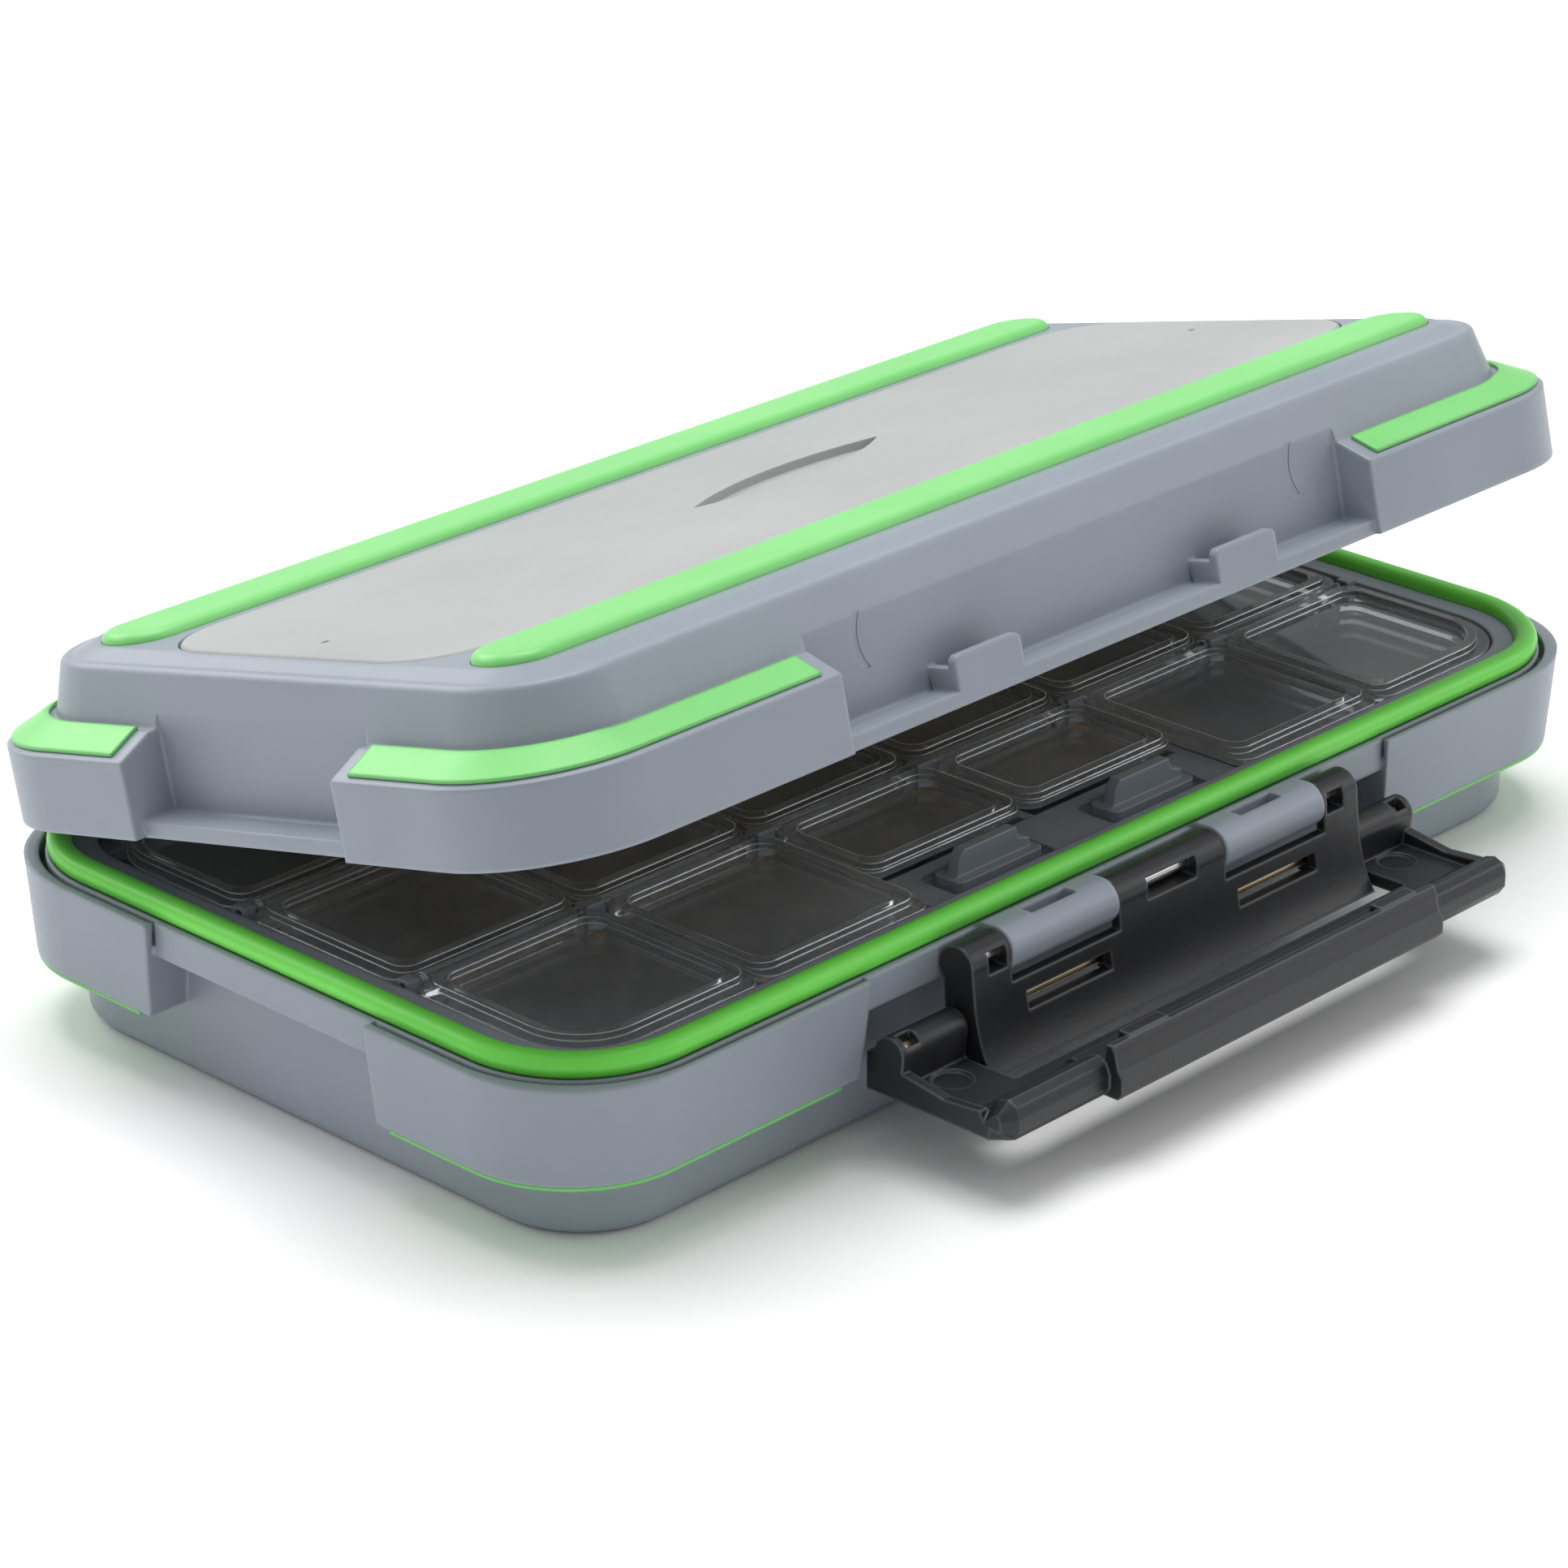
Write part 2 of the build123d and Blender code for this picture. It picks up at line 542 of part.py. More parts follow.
# ---------------------------------------------------------------- corner inserts
def quadrant(sign_x, sign_y, gap_x, gap_y):
    """Keep one corner of the sketch, starting past the gaps."""
    with Locations((sign_x * (gap_x + 100), sign_y * (gap_y + 100))):
        Rectangle(200, 200, mode=Mode.INTERSECT)


def make_base_insert(name, sign_x, sign_y):
    """A flat green corner piece under a base bumper."""
    face = (BAND_TOP - BUMPER_BOTTOM) * 0.0699 + 0.1
    with BuildPart() as insert:
        with BuildSketch(Plane.XY.offset(BUMPER_BOTTOM - INSERT_THICK)):
            outline(BUMPER_X - face, BUMPER_Y - face, BUMPER_R - face)
            outline(BODY_X + 0.05, BODY_Y + 0.05, BODY_R, Mode.SUBTRACT)
            quadrant(sign_x, sign_y, GAP_X + 4.0, GAP_Y + 3.0)
        extrude(amount=INSERT_THICK - 0.05)
    save(insert.part, name)


def make_lid_insert(name, sign_x, sign_y):
    """A green corner piece lying on the sloping ledge of a lid bumper."""
    lift = 0.5
    with BuildPart() as insert:
        with BuildSketch(Plane.XY.offset(LID_BUMPER_FACE + lift)):
            outline(BUMPER_X, BUMPER_Y - 0.2, BUMPER_R)
        extrude(amount=LID_BUMPER_TOP - LID_BUMPER_FACE, taper=LEDGE_SLOPE)
        with BuildSketch(Plane.XY.offset(LID_BUMPER_FACE + 0.04)):
            outline(BUMPER_X, BUMPER_Y - 0.2, BUMPER_R)
        extrude(amount=LID_BUMPER_TOP - LID_BUMPER_FACE, taper=LEDGE_SLOPE, mode=Mode.SUBTRACT)
        with BuildSketch(Plane.XY.offset(LIP_TOP)):
            outline(BUMPER_X - 0.7, BUMPER_Y - 0.9, BUMPER_R - 0.7)
            outline(LID_X + 0.4, LID_Y + 0.2, LID_R, Mode.SUBTRACT)
            quadrant(sign_x, sign_y, GAP_X + 2.4, GAP_Y + 2.4)
        extrude(amount=20.0, mode=Mode.INTERSECT)
    save(insert.part, name, on_lid=True)


# ---------------------------------------------------------------- latch
def make_lever():
    """The black lever on the upper pin; the lower pin runs behind its two windows."""
    with BuildPart() as lever:
        # face plate with a finger lip at the bottom, cut away round the base knuckles
        plane, length = along_x(-LEVER_X, LEVER_X)
        with BuildSketch(plane):
            with BuildLine():
                Spline((-57.6, PIVOT_Z), (-58.2, 15.4), (-59.2, 11.2), (-61.2, 7.5))
                Polyline((-61.2, 7.5), (-60.2, 6.7), (-59.4, 7.6))
                Spline((-59.4, 7.6), (-57.7, 11.2), (-56.8, 15.4), (-56.2, PIVOT_Z))
                Line((-56.2, PIVOT_Z), (-57.6, PIVOT_Z))
            make_face()
        extrude(amount=length)
        # hinge knuckles on the upper pin
        for start, end in ((-LEVER_X, -29.8), (-10.0, 10.0), (29.8, LEVER_X)):
            plane, length = along_x(start, end)
            with BuildSketch(plane):
                with Locations((PIVOT_Y, PIVOT_Z)):
                    Circle(LEVER_KNUCKLE_R)
            extrude(amount=length)
        # side cheeks, then the bosses that carry the lower pin
        for start, end in ((-LEVER_X, -LEVER_X + 1.8), (LEVER_X - 1.8, LEVER_X)):
            plane, length = along_x(start, end)
            with BuildSketch(plane):
                Polygon((-57.4, PIVOT_Z), (-58.0, 15.4), (-58.9, 11.4), (-60.2, 8.6), (-59.0, 7.6), (-55.2, 10.2),
                        (-53.5, 13.2), (-53.2, 18.0), (-53.0, PIVOT_Z), align=None)
            extrude(amount=length)
        for start, end in ((-LEVER_X, -28.4), (-10.6, 10.6), (28.4, LEVER_X)):
            plane, length = along_x(start, end)
            with BuildSketch(plane):
                with Locations((BAIL_Y, BAIL_Z)):
                    Circle(1.9)
                Polygon((BAIL_Y, BAIL_Z + 1.9), (BAIL_Y, BAIL_Z - 1.9), (-58.0, BAIL_Z - 2.4), (-57.6, BAIL_Z + 2.4),
                        align=None)
            extrude(amount=length)
        # room for the base knuckles
        for span in both_sides((10.0, 29.8)):
            plane, length = along_x(*span)
            with BuildSketch(plane):
                with Locations((PIVOT_Y, PIVOT_Z)):
                    Circle(KNUCKLE_R + 0.5)
                Polygon((-60, 16.9), (-50, 16.9), (-50, 24), (-60, 24), align=None)
            extrude(amount=length, mode=Mode.SUBTRACT)
        # long windows in front of the lower pin, and small ones in front of the upper pin
        for x in (-19.8, 19.8):
            with Locations((x, -58.0, 13.9)):
                Box(15.4, 4.0, 2.3, mode=Mode.SUBTRACT)
        for x, width in ((0.0, 9.4), (-32.0, 3.4), (32.0, 3.4)):
            with Locations((x, -57.5, PIVOT_Z + 0.2)):
                Box(width, 5.6, 2.7, mode=Mode.SUBTRACT)
        with Locations(Location((0, PIVOT_Y, PIVOT_Z), (0, 90, 0))):
            Cylinder(BORE_R, 2 * LEVER_X - 1.6, mode=Mode.SUBTRACT)
        with Locations(Location((0, BAIL_Y, BAIL_Z), (0, 90, 0))):
            Cylinder(BORE_R, 2 * LEVER_X + 2, mode=Mode.SUBTRACT)
    save(lever.part, "latch_lever")


def make_bail():
    """The black bail on the lower pin: two wings, a grip bar and a tongue that takes the lid hooks."""
    plate_top = BAIL_Z - 3.7
    plate_bottom = plate_top - 1.7
    bar_y = BAIL_Y - 9.7           # inner edge of the bar; the lever swings through the window behind it
    window_x = LEVER_X + 0.8
    with BuildPart() as bail:
        # plate with its window
        with BuildSketch(Plane.XY.offset(plate_bottom)) as plan:
            Polygon((-BAIL_X, -52.0), (BAIL_X, -52.0), (BAIL_X, -71.0), (BAIL_X - 1.8, -73.0),
                    (-BAIL_X + 1.8, -73.0), (-BAIL_X, -71.0), align=None)
            with Locations((0, bar_y)):
                Rectangle(2 * window_x, 40, align=(Align.CENTER, Align.MIN), mode=Mode.SUBTRACT)
        extrude(amount=plate_top - plate_bottom)
        # pivot barrels and the blocks that join them to the plate
        for span in both_sides((window_x, BAIL_X)):
            plane, length = along_x(*span)
            with BuildSketch(plane):
                with Locations((BAIL_Y, BAIL_Z)):
                    Circle(2.2)
                Polygon((BAIL_Y - 2.2, BAIL_Z), (BAIL_Y - 1.6, plate_bottom), (-52.0, plate_bottom),
                        (-52.0, BAIL_Z - 0.6), (BAIL_Y, BAIL_Z + 2.2), align=None)
            extrude(amount=length)
        # rim along each wing's outer edge
        for span in both_sides((BAIL_X - 1.4, BAIL_X)):
            plane, length = along_x(*span)
            with BuildSketch(plane):
                Polygon((-52.0, plate_bottom), (-52.0, 12.4), (-57.5, 11.4), (-64.0, 10.4), (-69.5, 10.9),
                        (-71.0, plate_bottom), align=None)
            extrude(amount=length)
        # grip bars, rounded over and cut back at their outer ends
        for side in (-1, 1):
            for start, length, taper in ((30.6, 15.9, 0), (46.5, 1.9, 36)):
                section = Plane(origin=(side * start, 0, 0), x_dir=(0, side, 0), z_dir=(side, 0, 0))
                with BuildSketch(section):
                    Polygon((side * -73.2, plate_bottom), (side * -67.0, plate_bottom), (side * -67.0, plate_top),
                            (side * -69.4, 10.8), (side * -70.8, 12.2), (side * -72.2, 12.6), (side * -73.4, 12.0),
                            (side * -74.0, 10.6), (side * -74.0, 9.0), align=None)
                extrude(amount=length, taper=taper)
        # tongue with the lip that drops behind the lid hooks
        plane, length = along_x(-30.8, 30.8)
        with BuildSketch(plane):
            Polygon((-66.4, plate_top - 0.2), (-68.0, 10.8), (-72.9, 10.9), (-73.3, BAIL_Z + 0.3),
                    (-73.4, BAIL_Z + 1.2), (-74.3, BAIL_Z + 1.2), (-74.8, BAIL_Z + 0.3), (-75.3, 11.4),
                    (-76.0, 10.6), (-76.0, 8.5), (-75.3, plate_bottom), (-66.4, plate_bottom), align=None)
        extrude(amount=length)
        for span in both_sides((20.4, 27.4)):
            plane, length = along_x(*span)
            with BuildSketch(plane):
                Polygon((-73.5, BAIL_Z + 0.1), (-72.3, BAIL_Z + 0.4), (-72.3, BAIL_Z + 1.5), (-74.0, BAIL_Z + 1.5),
                        (-74.5, BAIL_Z + 0.2), align=None)
            extrude(amount=length)
        # moulding holes in the barrels
        with Locations((46.4, BAIL_Y - 0.9, BAIL_Z + 1.7), (-46.4, BAIL_Y - 0.9, BAIL_Z + 1.7)):
            Box(2.4, 1.8, 2.2, mode=Mode.SUBTRACT)
        # round dimples in the wings
        with Locations((42.4, -60.0, plate_top), (-42.4, -60.0, plate_top)):
            Cylinder(2.5, 0.8, mode=Mode.SUBTRACT)
        with Locations(Location((0, BAIL_Y, BAIL_Z), (0, 90, 0))):
            Cylinder(BORE_R, 2 * BAIL_X - 1.6, mode=Mode.SUBTRACT)
    save(bail.part, "latch_bail")


def make_pin(name, y, z, half_length, on_lid=False):
    with BuildPart() as pin:
        with Locations(Location((0, y, z), (0, 90, 0))):
            Cylinder(PIN_R, 2 * half_length)
        chamfer(pin.edges().filter_by(GeomType.CIRCLE), 0.2)
    save(pin.part, name, on_lid)


# ---------------------------------------------------------------- build everything
make_base_shell()
make_gasket()
for divider in range(1, COLUMNS):
    make_column_divider(divider)
for divider in (1, 2):
    make_row_divider(divider)
make_rear_rail()
make_deck()
for ramp_number in (1, 2):
    make_scoop_ramp(ramp_number)
for cover_row in range(ROWS):
    for cover_column in range(COLUMNS):
        make_cover(cover_row, cover_column)
make_lid_shell()
make_lid_strip("lid_strip_front", -STRIP_Y)
make_lid_strip("lid_strip_rear", STRIP_Y)
make_lid_panel()
make_lid_pad()
CORNERS = (("front_left", -1, -1), ("front_right", 1, -1), ("rear_left", -1, 1), ("rear_right", 1, 1))
for corner, side_x, side_y in CORNERS:
    make_base_insert(f"base_insert_{corner}", side_x, side_y)
    make_lid_insert(f"lid_insert_{corner}", side_x, side_y)
make_lever()
make_bail()
make_pin("latch_pin_upper", PIVOT_Y, PIVOT_Z, LEVER_X - 1.2)
make_pin("latch_pin_lower", BAIL_Y, BAIL_Z, BAIL_X - 1.2)
make_pin("hinge_pin", HINGE_Y, HINGE_Z, LID_END_KNUCKLE[1])
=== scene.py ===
import json
import math

import bmesh
import bpy
from mathutils import Matrix, Vector


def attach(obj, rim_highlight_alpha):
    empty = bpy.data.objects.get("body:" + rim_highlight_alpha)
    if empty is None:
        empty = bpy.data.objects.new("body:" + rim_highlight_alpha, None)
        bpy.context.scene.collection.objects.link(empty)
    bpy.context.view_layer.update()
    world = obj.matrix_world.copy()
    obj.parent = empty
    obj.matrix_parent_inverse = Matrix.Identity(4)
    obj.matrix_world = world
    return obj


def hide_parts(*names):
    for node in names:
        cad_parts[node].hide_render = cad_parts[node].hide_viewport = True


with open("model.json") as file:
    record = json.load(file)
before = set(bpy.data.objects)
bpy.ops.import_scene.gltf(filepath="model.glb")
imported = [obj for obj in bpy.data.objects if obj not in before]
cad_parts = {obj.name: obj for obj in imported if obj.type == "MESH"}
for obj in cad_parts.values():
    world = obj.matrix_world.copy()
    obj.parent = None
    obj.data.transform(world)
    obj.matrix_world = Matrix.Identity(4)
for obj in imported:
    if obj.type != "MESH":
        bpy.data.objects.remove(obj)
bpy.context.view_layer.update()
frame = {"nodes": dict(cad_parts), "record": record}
nodes = frame["nodes"]

LID_OPEN = math.radians(13.5)
HINGE = Vector((0, 0.055, 0.026))
FLOOR_HALF = 4.0          # metres
FLOOR_DROP = 0.0002       # keeps the floor just under the box's base
VIEW_CENTRE = Vector((0, 0.00762, 0.01318))


# ------------------------------------------------------------------ materials
def new_material(name):
    mat = bpy.data.materials.new(name)
    mat.use_nodes = True
    tree = mat.node_tree
    tree.nodes.clear()
    out = tree.nodes.new("ShaderNodeOutputMaterial")
    bsdf = tree.nodes.new("ShaderNodeBsdfPrincipled")
    tree.links.new(bsdf.outputs["BSDF"], out.inputs["Surface"])
    return mat, tree, bsdf


def srgb(r, g, b):
    def lin(c):
        c /= 255
        return c / 12.92 if c <= 0.04045 else ((c + 0.055) / 1.055) ** 2.4
    return (lin(r), lin(g), lin(b), 1)


def add(tree, kind, **values):
    node = tree.nodes.new(kind)
    for key, value in values.items():
        setattr(node, key, value)
    return node


def noise(tree, coords, scale, detail=4.0, rough=0.6):
    node = add(tree, "ShaderNodeTexNoise")
    node.inputs["Scale"].default_value = scale
    node.inputs["Detail"].default_value = detail
    node.inputs["Roughness"].default_value = rough
    tree.links.new(coords, node.inputs["Vector"])
    return node.outputs["Fac"]


def ramp(tree, fac, low, high, left=0.3, right=0.7):
    node = add(tree, "ShaderNodeValToRGB")
    node.color_ramp.elements[0].position = left
    node.color_ramp.elements[1].position = right
    node.color_ramp.elements[0].color = low
    node.color_ramp.elements[1].color = high
    tree.links.new(fac, node.inputs["Fac"])
    return node.outputs["Color"]


def spread(tree, fac, low, high):
    node = add(tree, "ShaderNodeMapRange")
    node.inputs["To Min"].default_value = low
    node.inputs["To Max"].default_value = high
    tree.links.new(fac, node.inputs["Value"])
    return node.outputs["Result"]


def flatness(tree, bevel):
    """1 on a flat face, less where the bevel node's rounded normal leaves the flat one."""
    geometry = add(tree, "ShaderNodeNewGeometry")
    dot = add(tree, "ShaderNodeVectorMath", operation="DOT_PRODUCT")
    tree.links.new(bevel.outputs["Normal"], dot.inputs[0])
    tree.links.new(geometry.outputs["Normal"], dot.inputs[1])
    return dot.outputs["Value"]


def moulded(name, low, high, rough=(0.38, 0.5), grain=900, depth=0.02, edge=0.0004, specular=0.5, wear_and_highlight=None):
    """Moulded plastic or rubber: soft colour drift, fine grain, rounded edges, and edges lightened partly as
    wear and partly as a painted highlight.
    """
    mat, tree, bsdf = new_material(name)
    coords = add(tree, "ShaderNodeTexCoord").outputs["Object"]
    drift = noise(tree, coords, 26, 5)
    fine = noise(tree, coords, grain, 3)
    colour = ramp(tree, drift, low, high)
    bevel = add(tree, "ShaderNodeBevel", samples=6)
    bevel.inputs["Radius"].default_value = edge
    # painted highlight, partly wear: rounded edges are mixed towards a lighter colour
    if wear_and_highlight:
        wear_and_highlight_mask = add(tree, "ShaderNodeMapRange")
        wear_and_highlight_mask.inputs["From Min"].default_value = 0.995
        wear_and_highlight_mask.inputs["From Max"].default_value = 0.8
        tree.links.new(flatness(tree, bevel), wear_and_highlight_mask.inputs["Value"])
        mix = add(tree, "ShaderNodeMix", data_type="RGBA")
        tree.links.new(wear_and_highlight_mask.outputs["Result"], mix.inputs["Factor"])
        tree.links.new(colour, mix.inputs["A"])
        mix.inputs["B"].default_value = wear_and_highlight
        colour = mix.outputs["Result"]
    tree.links.new(colour, bsdf.inputs["Base Color"])
    tree.links.new(spread(tree, drift, *rough), bsdf.inputs["Roughness"])
    bump = add(tree, "ShaderNodeBump")
    bump.inputs["Strength"].default_value = depth
    bump.inputs["Distance"].default_value = 0.0002
    tree.links.new(fine, bump.inputs["Height"])
    tree.links.new(bevel.outputs["Normal"], bump.inputs["Normal"])
    tree.links.new(bump.outputs["Normal"], bsdf.inputs["Normal"])
    bsdf.inputs["Specular IOR Level"].default_value = specular
    return mat


def metal(name, low, high, rough):
    mat, tree, bsdf = new_material(name)
    coords = add(tree, "ShaderNodeTexCoord").outputs["Object"]
    stretch = add(tree, "ShaderNodeMapping")
    stretch.inputs["Scale"].default_value = (60, 2500, 2500)
    tree.links.new(coords, stretch.inputs["Vector"])
    lines = noise(tree, stretch.outputs["Vector"], 1.0, 4)
    tree.links.new(ramp(tree, lines, low, high), bsdf.inputs["Base Color"])
    tree.links.new(spread(tree, lines, rough - 0.08, rough + 0.1), bsdf.inputs["Roughness"])
    bsdf.inputs["Metallic"].default_value = 1.0
    return mat


def clear_plastic():
    """Smoky clear plastic: mirror-like at a low angle, clear from above, with bright rounded edges."""
    mat, tree, bsdf = new_material("clear_cover")
    coords = add(tree, "ShaderNodeTexCoord").outputs["Object"]
    swirl = noise(tree, coords, 45, 4)
    scuff = noise(tree, coords, 900, 6)
    tree.links.new(ramp(tree, swirl, srgb(206, 210, 214), srgb(236, 239, 242)), bsdf.inputs["Base Color"])
    tree.links.new(spread(tree, scuff, 0.02, 0.09), bsdf.inputs["Roughness"])
    bsdf.inputs["Metallic"].default_value = 0.8
    bsdf.inputs["IOR"].default_value = 1.5
    bevel = add(tree, "ShaderNodeBevel", samples=6)
    bevel.inputs["Radius"].default_value = 0.00035
    bump = add(tree, "ShaderNodeBump")
    bump.inputs["Strength"].default_value = 0.06
    bump.inputs["Distance"].default_value = 0.0003
    tree.links.new(swirl, bump.inputs["Height"])
    tree.links.new(bevel.outputs["Normal"], bump.inputs["Normal"])
    tree.links.new(bump.outputs["Normal"], bsdf.inputs["Normal"])
    # painted highlight: rounded edges are made more opaque so their light colour shows as bright rims, flat
    # faces hardly show
    rim_highlight_alpha = add(tree, "ShaderNodeMapRange")
    rim_highlight_alpha.inputs["From Min"].default_value = 0.998
    rim_highlight_alpha.inputs["From Max"].default_value = 0.85
    rim_highlight_alpha.inputs["To Min"].default_value = 0.02
    rim_highlight_alpha.inputs["To Max"].default_value = 0.75
    tree.links.new(flatness(tree, bevel), rim_highlight_alpha.inputs["Value"])
    gloss = add(tree, "ShaderNodeFresnel")
    gloss.inputs["IOR"].default_value = 1.45
    tree.links.new(bump.outputs["Normal"], gloss.inputs["Normal"])
    total = add(tree, "ShaderNodeMath", operation="ADD", use_clamp=True)
    tree.links.new(rim_highlight_alpha.outputs["Result"], total.inputs[0])
    tree.links.new(gloss.outputs["Fac"], total.inputs[1])
    # light on its way into the cells meets an even smoky tint
    path = add(tree, "ShaderNodeLightPath")
    passing = add(tree, "ShaderNodeMath", operation="MAXIMUM")
    tree.links.new(path.outputs["Is Shadow Ray"], passing.inputs[0])
    tree.links.new(path.outputs["Is Diffuse Ray"], passing.inputs[1])
    alpha = add(tree, "ShaderNodeMix", data_type="FLOAT")
    tree.links.new(passing.outputs[0], alpha.inputs["Factor"])
    tree.links.new(total.outputs[0], alpha.inputs["A"])
    alpha.inputs["B"].default_value = 0.22
    tree.links.new(alpha.outputs["Result"], bsdf.inputs["Alpha"])
    return mat


def foam():
    """Tan closed-cell foam: fine cells, and painted shade where the sheet is slit."""
    mat, tree, bsdf = new_material("tan_foam")
    coords = add(tree, "ShaderNodeTexCoord").outputs["Object"]
    cells = add(tree, "ShaderNodeTexVoronoi", feature="F1")
    cells.inputs["Scale"].default_value = 1500
    tree.links.new(coords, cells.inputs["Vector"])
    drift = noise(tree, coords, 60, 5)
    colour = ramp(tree, drift, srgb(178, 152, 116), srgb(204, 180, 144))
    # painted shade: the bottoms of the slits are darker
    geometry = add(tree, "ShaderNodeNewGeometry")
    painted_slit_shade = add(tree, "ShaderNodeMapRange")
    painted_slit_shade.inputs["From Min"].default_value = 0.46
    painted_slit_shade.inputs["From Max"].default_value = 0.54
    tree.links.new(geometry.outputs["Pointiness"], painted_slit_shade.inputs["Value"])
    mix = add(tree, "ShaderNodeMix", data_type="RGBA")
    tree.links.new(painted_slit_shade.outputs["Result"], mix.inputs["Factor"])
    mix.inputs["A"].default_value = srgb(120, 100, 74)
    tree.links.new(colour, mix.inputs["B"])
    tree.links.new(mix.outputs["Result"], bsdf.inputs["Base Color"])
    tree.links.new(spread(tree, cells.outputs["Distance"], 0.8, 0.97), bsdf.inputs["Roughness"])
    bump = add(tree, "ShaderNodeBump")
    bump.inputs["Strength"].default_value = 0.6
    bump.inputs["Distance"].default_value = 0.0004
    tree.links.new(cells.outputs["Distance"], bump.inputs["Height"])
    tree.links.new(bump.outputs["Normal"], bsdf.inputs["Normal"])
    bsdf.inputs["Specular IOR Level"].default_value = 0.2
    return mat


# the lighter edge colours below are partly worn edges and partly painted edge highlight
shell_grey = moulded("shell_grey", srgb(136, 144, 155), srgb(144, 152, 163), (0.34, 0.44), 1400, 0.06, 0.0008,
                     wear_and_highlight=srgb(170, 177, 186))
tray_grey = moulded("tray_grey", srgb(124, 131, 140), srgb(134, 141, 150), (0.34, 0.46), 1400, 0.06, 0.0004,
                    wear_and_highlight=srgb(150, 156, 165))
panel_grey = moulded("panel_grey", srgb(160, 163, 162), srgb(170, 173, 172), (0.5, 0.62), 2600, 0.35, 0.0004)
green_gasket = moulded("green_gasket", srgb(104, 214, 70), srgb(116, 224, 82), (0.3, 0.42), 900, 0.04, 0.0002)
green_strip = moulded("green_strip", srgb(116, 202, 110), srgb(130, 212, 124), (0.32, 0.44), 900, 0.04,
                      0.0007)
black_plastic = moulded("black_plastic", srgb(27, 28, 31), srgb(36, 37, 41), (0.32, 0.48), 1800, 0.12, 0.0006,
                        wear_and_highlight=srgb(96, 98, 104))
tan_foam = foam()
steel = metal("steel", srgb(176, 176, 176), srgb(214, 214, 212), 0.26)
brass = metal("brass_pin", srgb(176, 160, 124), srgb(214, 200, 168), 0.28)
clear_cover = clear_plastic()

BY_SLOT = {"shell_grey": shell_grey, "tray_grey": tray_grey, "panel_grey": panel_grey,
           "green_rubber": green_strip, "black_plastic": black_plastic, "steel": steel,
           "brass_pin": brass, "clear_cover": clear_cover, "tan_foam": tan_foam}
slots = {entry["node"]: entry["material_slot"] for entry in frame["record"]["subparts"]}
for name, obj in nodes.items():
    mat = green_gasket if name == "rim_gasket" else BY_SLOT[slots[name]]
    if not obj.material_slots:
        obj.data.materials.append(mat)
    for slot in obj.material_slots:
        slot.material = mat


# ------------------------------------------------------------------ foam
def foam_lines(count, pitch, marks, margin):
    """Grid lines across the pad one way: at each slit, halfway between slits, and in the rounded margin."""
    lines = []
    for index in range(count):
        centre = (index - (count - 1) / 2) * pitch
        lines += [centre + mark for mark in marks]
        if index < count - 1:
            lines.append(centre + pitch / 2)
    return [-value for value in reversed(margin)] + lines + list(margin)


def make_foam():
    """Sheet of slit foam in the lid: rounded lower edge, and rows of short cuts for the hooks."""
    half_x, half_y, corner = 86.7, 43.5, 9.0
    top, bottom = 40.85, 37.25
    slit_half, slit_depth = 4.2, 1.7
    pitch_x, count_x = 12.0, 13
    pitch_y, count_y = 5.6, 14
    xs = foam_lines(count_x, pitch_x, (-slit_half, -3.5, 0, 3.5, slit_half),
                    (half_x - corner, 80.5, 83.0, 85.0, 85.7, 86.3, half_x))
    ys = foam_lines(count_y, pitch_y, (-0.35, 0, 0.35), (39.6, 41.6, 42.4, 43.1, half_y))

    def limit(y):
        beyond = max(0.0, abs(y) - (half_y - corner))
        round_in = corner - math.sqrt(max(corner * corner - beyond * beyond, 0.0))
        return half_x - min(round_in, corner - 0.9)

    def place(x, y):
        inner = half_x - corner
        if abs(x) > inner:
            share = (abs(x) - inner) / corner
            x = math.copysign(inner + share * (limit(y) - inner), x)
        return x

    def height(x, y, across):
        edge = min(limit(y) - abs(across), half_y - abs(y))
        z = bottom + 0.9 * max(0.0, 1 - edge / 1.6) ** 2
        row = y / pitch_y + (count_y - 1) / 2
        column = x / pitch_x + (count_x - 1) / 2
        in_row = abs(row - round(row)) * pitch_y < 0.05 and 0 <= round(row) < count_y
        in_column = abs(column - round(column)) * pitch_x < slit_half - 0.1 and 0 <= round(column) < count_x
        return z + (slit_depth if in_row and in_column else 0.0)

    bm = bmesh.new()
    grid = []
    for y in ys:
        line = []
        for x in xs:
            across = place(x, y)
            line.append(bm.verts.new((across / 1000, y / 1000, height(x, y, across) / 1000)))
        grid.append(line)
    for j in range(len(ys) - 1):
        for i in range(len(xs) - 1):
            bm.faces.new((grid[j][i], grid[j + 1][i], grid[j + 1][i + 1], grid[j][i + 1]))
    right_side = [line[-1] for line in grid[:-1]]
    left_side = [line[0] for line in grid[:0:-1]]
    loop = grid[0][:-1] + right_side + grid[-1][:0:-1] + left_side
    upper = [bm.verts.new((v.co.x, v.co.y, top / 1000)) for v in loop]
    for k, vert in enumerate(loop):
        after = (k + 1) % len(loop)
        bm.faces.new((vert, loop[after], upper[after], upper[k]))
    bm.faces.new(upper)
    bmesh.ops.recalc_face_normals(bm, faces=bm.faces[:])
    turn = Matrix.Translation(HINGE) @ Matrix.Rotation(-LID_OPEN, 4, "X") @ Matrix.Translation(-HINGE)
    bm.transform(turn)
    mesh = bpy.data.meshes.new("lid_slit_foam")
    bm.to_mesh(mesh)
    bm.free()
    mesh.polygons.foreach_set("use_smooth", [True] * len(mesh.polygons))
    mesh.set_sharp_from_angle(angle=math.radians(32))
    obj = bpy.data.objects.new("lid_slit_foam", mesh)
    obj.data.materials.append(tan_foam)
    bpy.context.scene.collection.objects.link(obj)
    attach(obj, "lid")
    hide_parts("lid_foam_pad")
    return obj


make_foam()


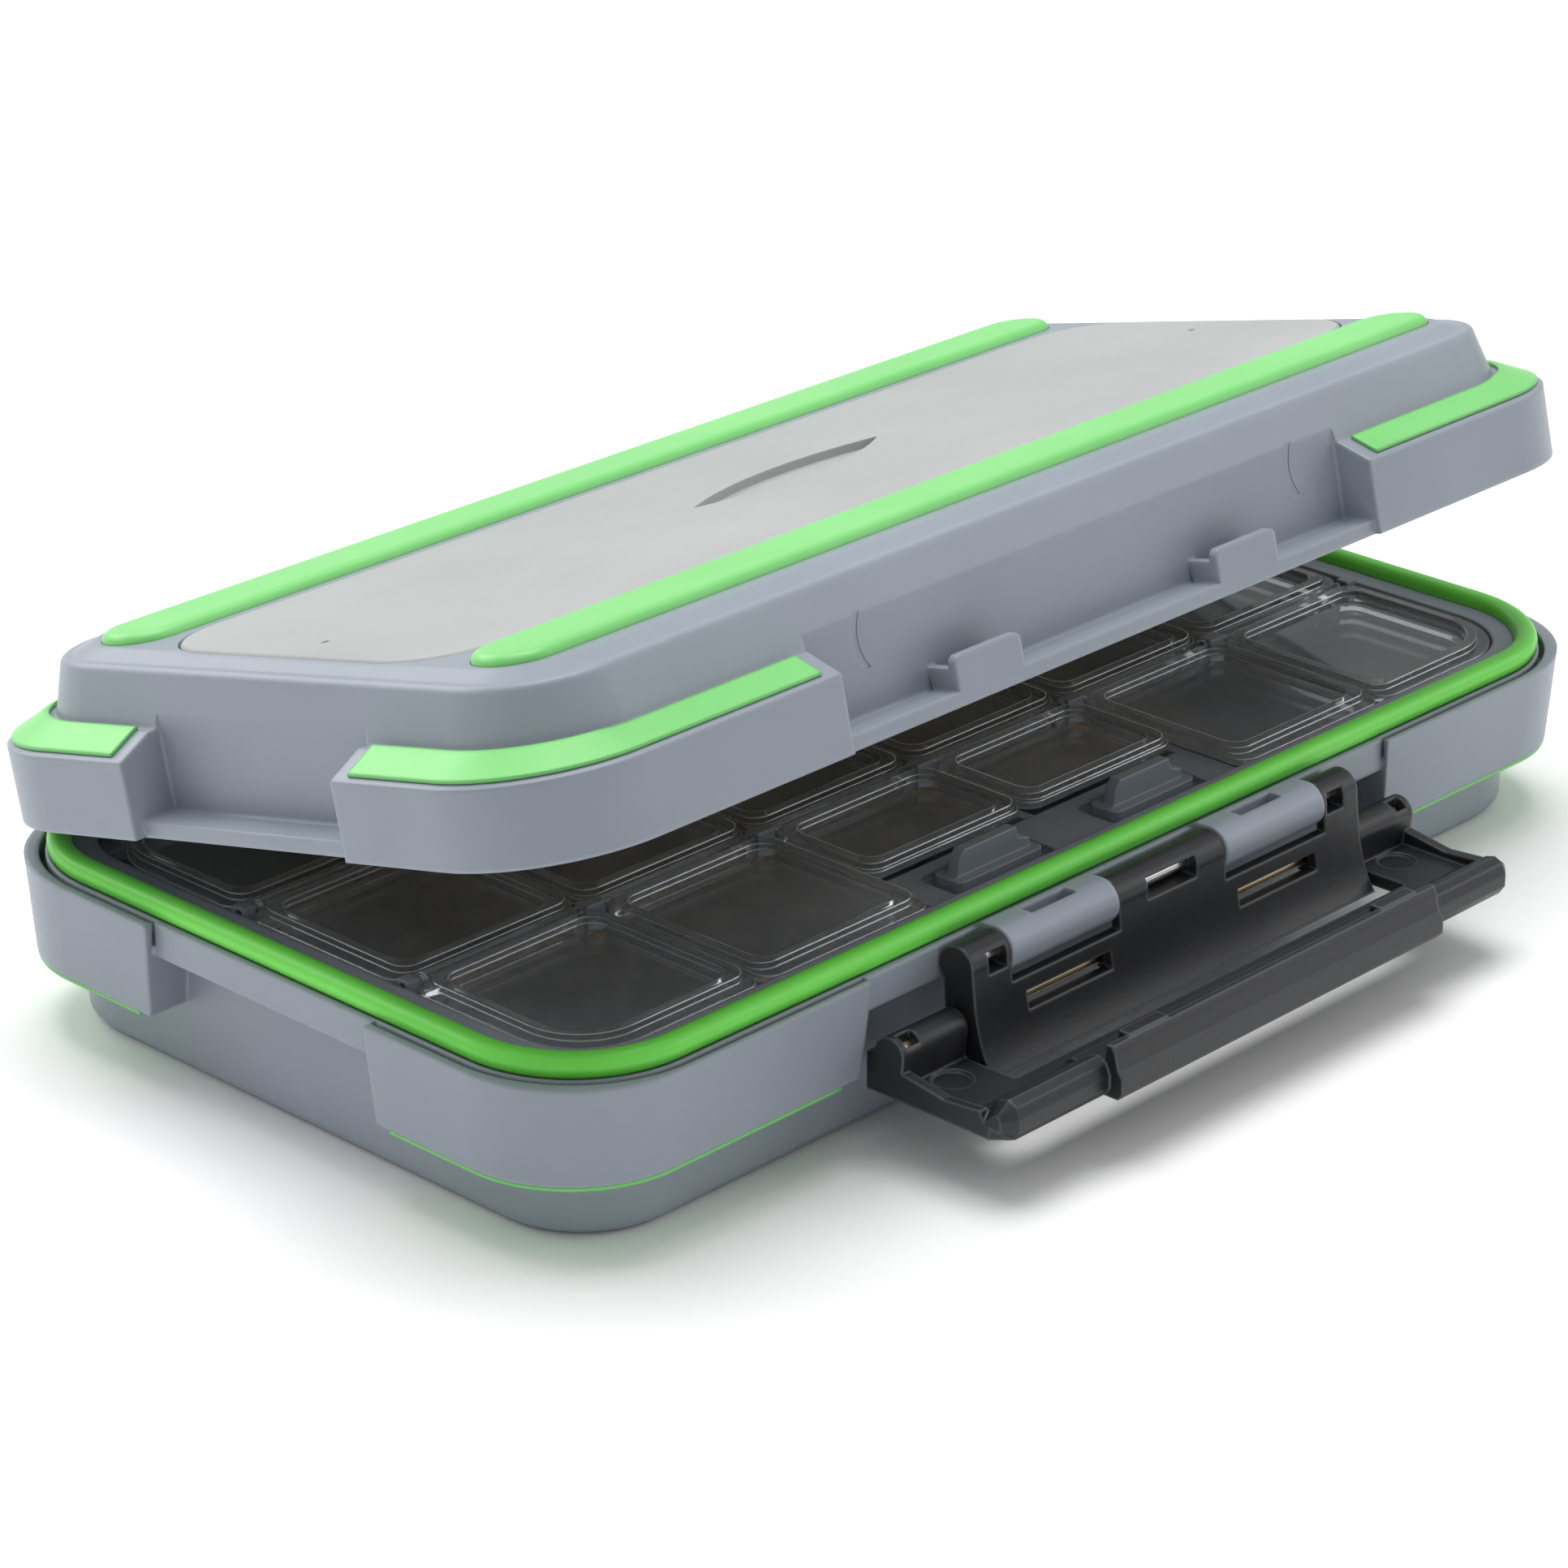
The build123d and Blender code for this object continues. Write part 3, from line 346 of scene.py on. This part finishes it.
# ------------------------------------------------------------------ stage
def stage_material(name, colour, rough):
    mat, tree, bsdf = new_material(name)
    bsdf.inputs["Base Color"].default_value = colour
    bsdf.inputs["Roughness"].default_value = rough
    return mat


floor_mesh = bpy.data.meshes.new("floor")
floor_mesh.from_pydata([(-FLOOR_HALF, -FLOOR_HALF, 0), (FLOOR_HALF, -FLOOR_HALF, 0),
                         (FLOOR_HALF, FLOOR_HALF, 0), (-FLOOR_HALF, FLOOR_HALF, 0)], [], [(0, 1, 2, 3)])
floor = bpy.data.objects.new("floor", floor_mesh)
floor.location = (0, 0, -FLOOR_DROP)
floor.data.materials.append(stage_material("floor_white", (0.96, 0.96, 0.96, 1), 0.85))
bpy.context.scene.collection.objects.link(floor)

world = bpy.data.worlds.new("studio")
bpy.context.scene.world = world
world.use_nodes = True
world.node_tree.nodes["Background"].inputs["Color"].default_value = (1, 1, 1, 1)
world.node_tree.nodes["Background"].inputs["Strength"].default_value = 0.52


def softbox(name, place, target, size, power, colour=(1, 1, 1)):
    data = bpy.data.lights.new(name, "AREA")
    data.shape = "RECTANGLE"
    data.size, data.size_y = size
    data.energy = power
    data.color = colour
    lamp = bpy.data.objects.new(name, data)
    lamp.location = place
    aim = Vector(target) - Vector(place)
    lamp.rotation_euler = aim.to_track_quat("-Z", "Y").to_euler()
    bpy.context.scene.collection.objects.link(lamp)
    return lamp


softbox("overhead", (0.15, 0.25, 1.3), (0, 0, 0.02), (1.0, 0.8), 14)
softbox("back", (-0.2, 1.2, 0.7), (0, 0, 0.03), (1.4, 0.5), 7.5)
softbox("fill", (0.9, -0.6, 0.5), (0, 0, 0.02), (0.8, 0.5), 2)

scene = bpy.context.scene
scene.view_settings.view_transform = "Standard"
scene.view_settings.look = "None"
scene.view_settings.exposure = 0.0

camera_data = bpy.data.cameras.new("camera")
camera_data.lens = 114.4
camera_data.sensor_width = 36
camera = bpy.data.objects.new("camera", camera_data)
camera.location = (-0.4304, -0.4031, 0.2729)
aim = VIEW_CENTRE - camera.location
camera.rotation_euler = aim.to_track_quat("-Z", "Y").to_euler()
bpy.context.scene.collection.objects.link(camera)
bpy.context.scene.camera = camera

bpy.context.view_layer.update()
